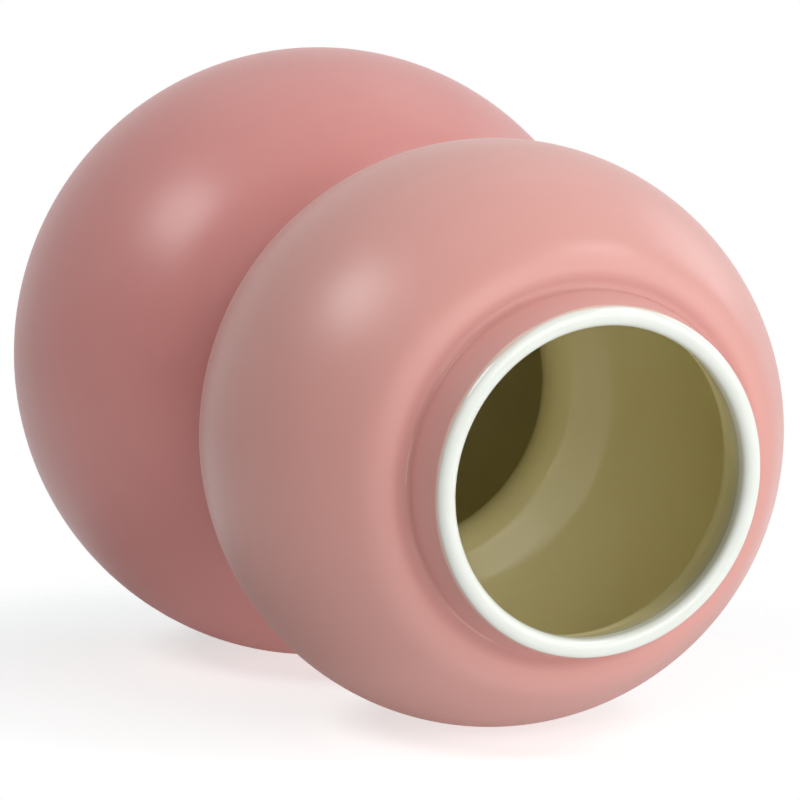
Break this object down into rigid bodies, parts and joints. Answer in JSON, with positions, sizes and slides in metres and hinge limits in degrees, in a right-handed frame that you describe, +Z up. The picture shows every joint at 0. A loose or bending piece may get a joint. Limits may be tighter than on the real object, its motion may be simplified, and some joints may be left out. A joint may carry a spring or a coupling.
{
  "type": "bubble vase",
  "caption": "Ceramic gourd vase of a large and a smaller squashed bubble with a pinched waist, a short collar mouth with a white lip and a glazed hollow inside, standing on a bare foot ring.",
  "frame": {"origin": "centre of the foot ring on the plane the vase stands on", "axes": "+Z up along the axis of revolution, from the foot to the mouth; the vase is a body of revolution, so +X and +Y are alike"},
  "size_m": [0.15, 0.15, 0.2241],
  "materials": {
    "clay": "bare fired clay, fine matte grain",
    "slip": "fired slip, matte",
    "matte_pink": "satin matte dusty pink coat",
    "lip_white": "white gloss glaze",
    "olive_gloss": "pale olive gloss glaze"
  },
  "bodies": {
    "root": {"lower_bubble": "clay", "upper_bubble": "clay", "neck_collar": "clay", "waist_seam": "slip", "collar_seam": "slip", "matte_coat": "matte_pink", "lip_glaze": "lip_white", "inner_glaze": "olive_gloss"}
  },
  "joints": []
}
